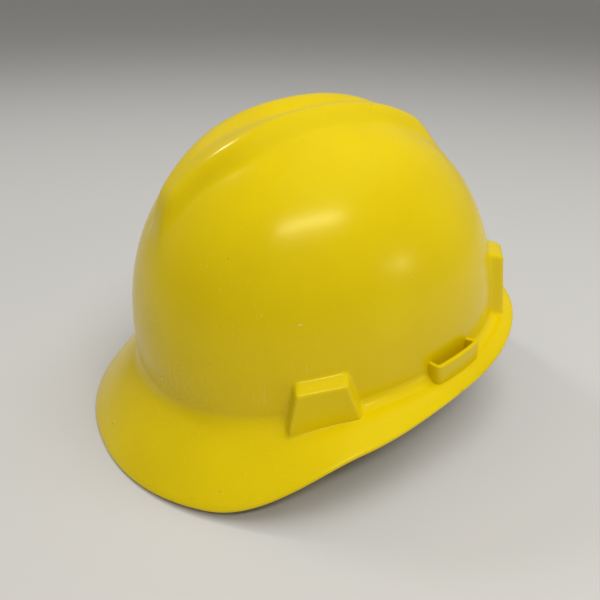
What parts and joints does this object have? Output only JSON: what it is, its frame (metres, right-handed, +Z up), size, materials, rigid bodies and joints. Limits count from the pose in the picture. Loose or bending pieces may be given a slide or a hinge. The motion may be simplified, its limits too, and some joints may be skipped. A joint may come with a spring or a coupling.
{
  "type": "hard hat",
  "caption": "Cap-style safety hard hat with a ridged crown and front brim, webbing suspension, headband and a ratchet nape strap.",
  "frame": {"origin": "centre of the bounding box's bottom, on the surface the hat rests on", "axes": "+X wearer's left, -Y the front of the brim, +Z up"},
  "size_m": [0.2372, 0.297, 0.1909],
  "materials": {
    "shell": "moulded yellow polyethylene, semi-gloss, lightly scuffed",
    "black_plastic": "moulded black nylon, satin",
    "knob_plastic": "moulded black plastic, fine texture",
    "grey_plastic": "moulded dark grey plastic",
    "webbing": "woven polyester webbing",
    "thread": "bar-tack thread",
    "pad_foam": "brushed fabric over foam",
    "steel": "zinc plated"
  },
  "bodies": {
    "hat": {"shell": "shell", "headband": "black_plastic", "guide_rivets": "black_plastic", "left_arm_guide": "black_plastic", "right_arm_guide": "black_plastic", "ratchet_case_base": "black_plastic", "ratchet_case_cover": "black_plastic", "ratchet_detent_ring": "black_plastic", "front_left_key": "black_plastic", "front_left_hanger": "black_plastic", "front_right_key": "black_plastic", "front_right_hanger": "black_plastic", "rear_left_key": "black_plastic", "rear_left_hanger": "black_plastic", "rear_right_key": "black_plastic", "rear_right_hanger": "black_plastic", "nape_cradle": "grey_plastic", "crown_strap_over": "webbing", "crown_strap_under": "webbing", "strap_stitches": "thread", "brow_pad": "pad_foam", "nape_pad": "pad_foam", "crown_pad": "pad_foam", "ratchet_case_screws": "steel"},
    "knob": {"ratchet_knob": "knob_plastic", "ratchet_pinion": "black_plastic", "ratchet_knob_screw": "steel", "ratchet_click_spring": "steel"},
    "left_arm": {"left_nape_arm": "black_plastic"},
    "right_arm": {"right_nape_arm": "black_plastic"}
  },
  "joints": [
    {"name": "knob_turn", "type": "hinge", "parent": "hat", "child": "knob", "pos_m": [0, 0.13394, 0.02836], "axis": [0, -0.9529, 0.3034], "range_deg": [-135, 135]},
    {"name": "left_arm_slide", "type": "hinge", "parent": "hat", "child": "left_arm", "pos_m": [0, 0.04342, 0.05718], "axis": [0, 0.3034, 0.9529], "range_deg": [-8.6, 8.6]},
    {"name": "right_arm_slide", "type": "hinge", "parent": "hat", "child": "right_arm", "pos_m": [0, 0.04342, 0.05718], "axis": [0, 0.3034, 0.9529], "range_deg": [-8.6, 8.6]}
  ],
  "couplings": [
    {"joint": "left_arm_slide", "follows": "knob_turn", "ratio": 0.0625},
    {"joint": "right_arm_slide", "follows": "knob_turn", "ratio": -0.0625}
  ]
}
